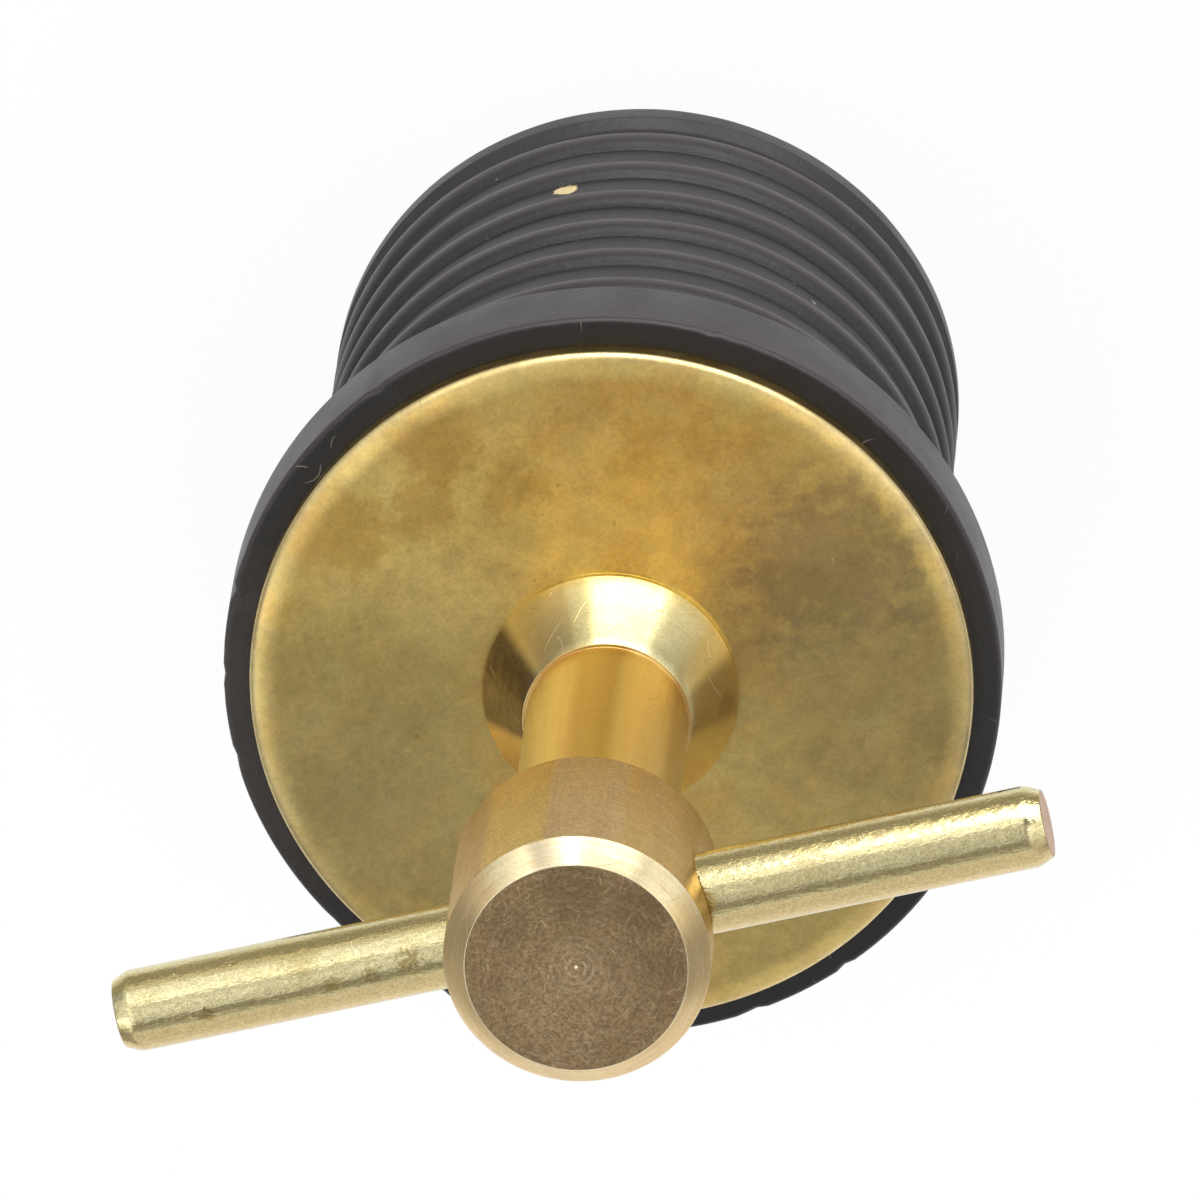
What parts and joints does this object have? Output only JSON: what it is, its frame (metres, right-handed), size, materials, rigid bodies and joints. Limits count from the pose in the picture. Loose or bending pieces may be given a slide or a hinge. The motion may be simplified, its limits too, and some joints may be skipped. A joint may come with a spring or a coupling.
{
  "type": "boat drain plug",
  "caption": "Expanding drain plug: a ribbed rubber stopper with a seating flange, squeezed between a brass washer and a brass nut by a tee handled screw through its middle.",
  "frame": {"origin": "centre of the nut's underside, on the plug's axis, where the plug stands on a surface", "axes": "+Z along the plug's axis from the nut to the handle; X along the tee bar; Y across it"},
  "size_m": [0.0366, 0.0308, 0.0589],
  "materials": {
    "brass_plate": "satin, lightly tarnished",
    "rubber": "matt moulded rubber",
    "brass_washer": "satin pressed sheet with tarnish blotches and fine scratches",
    "brass_turned": "turned and part polished, with fine lathe lines",
    "brass_bar": "bright drawn rod, scratched and pitted"
  },
  "bodies": {
    "stopper": {"base_nut": "brass_plate", "rubber_stopper": "rubber"},
    "washer": {"top_washer": "brass_washer"},
    "handle": {"handle_screw": "brass_turned", "tee_bar": "brass_bar"}
  },
  "joints": [
    {"name": "washer_travel", "type": "slide", "parent": "stopper", "child": "washer", "axis": [0, 0, -1], "range_m": [0, 0.00222], "deforming": ["rubber_stopper"]},
    {"name": "handle_turn", "type": "hinge", "parent": "washer", "child": "handle", "pos_m": [0, 0, 0.03206], "axis": [0, 0, -1], "range_deg": [0, 630]}
  ],
  "couplings": [
    {"joint": "handle_turn", "follows": "washer_travel", "rad_per_m": 4947.4}
  ]
}
